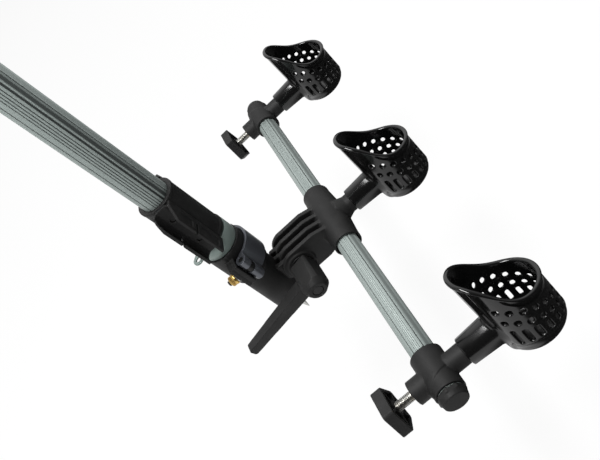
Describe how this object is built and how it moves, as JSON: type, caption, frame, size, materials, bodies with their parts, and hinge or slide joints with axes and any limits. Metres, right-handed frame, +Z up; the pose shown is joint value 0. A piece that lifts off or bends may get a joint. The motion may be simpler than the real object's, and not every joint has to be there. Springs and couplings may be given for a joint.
{
  "type": "rod pod rear rest",
  "caption": "Rear rod rest on a pod leg: a ribbed leg with a cam clamp bracket, a tilting arm and a crossbar with butt cups that slide and turn.",
  "frame": {"origin": "centre of the pivot bore in the leg's top knuckle", "axes": "+X along the crossbar to the end nearest the picture's viewer, +Y from the leg to the cups, +Z up along the leg"},
  "size_m": [0.4422, 0.2354, 0.4273],
  "materials": {
    "anodised_tube": "grey-green anodised, satin, drawn along the tube",
    "ferrule_aluminium": "grey-green anodised, smooth satin",
    "black_plastic": "moulded black nylon, fine texture",
    "cup_plastic": "moulded black, semi-gloss",
    "cam_metal": "dark satin coating",
    "steel": "turned, bright zinc",
    "blackened_steel": "black oxide",
    "brass": "turned",
    "nylon": "natural nylon",
    "ring_rubber": "matt"
  },
  "bodies": {
    "leg": {"leg_tube": "anodised_tube", "leg_knuckle": "black_plastic", "knuckle_pins": "steel", "clip_collar": "black_plastic", "front_clip": "black_plastic", "rear_clip": "black_plastic", "clip_screws": "blackened_steel", "eyelet_tab": "ferrule_aluminium", "ferrule": "ferrule_aluminium", "ferrule_bush": "black_plastic", "foot_plug": "black_plastic", "leg_spike": "steel", "foot_pin": "steel"},
    "liner": {"sleeve_liner": "nylon"},
    "bracket": {"bracket": "black_plastic", "cam_pin": "blackened_steel", "eye_bolt": "blackened_steel", "nut_washer": "steel", "pivot_bolt": "steel", "pivot_washers": "blackened_steel"},
    "cam_lever": {"cam_lever": "cam_metal"},
    "adjuster_nut": {"adjuster_nut": "brass"},
    "arm": {"arm": "black_plastic", "crossbar": "anodised_tube", "bar_end_caps": "black_plastic", "bar_grub_screws": "steel", "mid_cup_screw": "steel", "mid_stem_ring": "ring_rubber"},
    "handle_insert": {"handle_insert": "blackened_steel", "handle_screw": "blackened_steel", "handle_spring": "steel"},
    "handle": {"handle": "black_plastic"},
    "near_tee": {"near_tee": "black_plastic", "near_thread_insert": "brass", "near_cup_screw": "steel", "near_stem_ring": "ring_rubber"},
    "far_tee": {"far_tee": "black_plastic", "far_thread_insert": "brass", "far_cup_screw": "steel", "far_stem_ring": "ring_rubber"},
    "near_pad": {"near_brake_pad": "nylon"},
    "far_pad": {"far_brake_pad": "nylon"},
    "near_knob": {"near_clamp_screw": "steel", "near_knob": "black_plastic"},
    "far_knob": {"far_clamp_screw": "steel", "far_knob": "black_plastic"},
    "near_cup": {"near_cup": "cup_plastic"},
    "mid_cup": {"mid_cup": "cup_plastic"},
    "far_cup": {"far_cup": "cup_plastic"}
  },
  "joints": [
    {"name": "bracket_slide", "type": "slide", "parent": "leg", "child": "liner", "axis": [0, 0, 1], "range_m": [-0.03, 0]},
    {"name": "bracket_turn", "type": "hinge", "parent": "liner", "child": "bracket", "pos_m": [0, 0, -0.35], "axis": [0, 0, 1], "range_deg": [-60, 60]},
    {"name": "cam_open", "type": "hinge", "parent": "bracket", "child": "cam_lever", "pos_m": [0.0252, 0.00675, -0.3025], "axis": [0, 0, 1], "range_deg": [-100, 0]},
    {"name": "nut_turn", "type": "hinge", "parent": "bracket", "child": "adjuster_nut", "pos_m": [0.0252, -0.012, -0.3025], "axis": [0, 1, 0], "range_deg": [-180, 180]},
    {"name": "arm_tilt", "type": "hinge", "parent": "bracket", "child": "arm", "pos_m": [0, 0.035, -0.35], "axis": [1, 0, 0], "range_deg": [-90, 45]},
    {"name": "handle_turn", "type": "hinge", "parent": "bracket", "child": "handle_insert", "pos_m": [0, 0.035, -0.35], "axis": [1, 0, 0], "range_deg": [-40, 40]},
    {"name": "handle_lift", "type": "slide", "parent": "handle_insert", "child": "handle", "axis": [1, 0, 0], "range_m": [0, 0.005], "stiffness_N_per_m": 800, "springref_m": -0.002, "deforming": ["handle_spring"]},
    {"name": "near_tee_slide", "type": "slide", "parent": "arm", "child": "near_tee", "axis": [1, 0, 0], "range_m": [-0.06, 0]},
    {"name": "far_tee_slide", "type": "slide", "parent": "arm", "child": "far_tee", "axis": [1, 0, 0], "range_m": [0, 0.06]},
    {"name": "near_pad_slide", "type": "slide", "parent": "near_tee", "child": "near_pad", "axis": [0, -1, 0], "range_m": [0, 0.00375]},
    {"name": "far_pad_slide", "type": "slide", "parent": "far_tee", "child": "far_pad", "axis": [0, -1, 0], "range_m": [0, 0.00375]},
    {"name": "near_knob_turn", "type": "hinge", "parent": "near_pad", "child": "near_knob", "pos_m": [0.1935, 0.0452, -0.35], "axis": [0, -1, 0], "range_deg": [0, 1080]},
    {"name": "far_knob_turn", "type": "hinge", "parent": "far_pad", "child": "far_knob", "pos_m": [-0.1935, 0.0452, -0.35], "axis": [0, -1, 0], "range_deg": [0, 1080]},
    {"name": "near_cup_turn", "type": "hinge", "parent": "near_tee", "child": "near_cup", "pos_m": [0.1935, 0.1557, -0.35], "axis": [0, 1, 0], "range_deg": [-45, 45]},
    {"name": "mid_cup_turn", "type": "hinge", "parent": "arm", "child": "mid_cup", "pos_m": [0, 0.1557, -0.35], "axis": [0, 1, 0], "range_deg": [-45, 45]},
    {"name": "far_cup_turn", "type": "hinge", "parent": "far_tee", "child": "far_cup", "pos_m": [-0.1935, 0.1557, -0.35], "axis": [0, 1, 0], "range_deg": [-45, 45]}
  ],
  "couplings": [
    {"joint": "near_pad_slide", "follows": "near_knob_turn", "m_per_rad": 0.00019894},
    {"joint": "far_pad_slide", "follows": "far_knob_turn", "m_per_rad": 0.00019894}
  ]
}
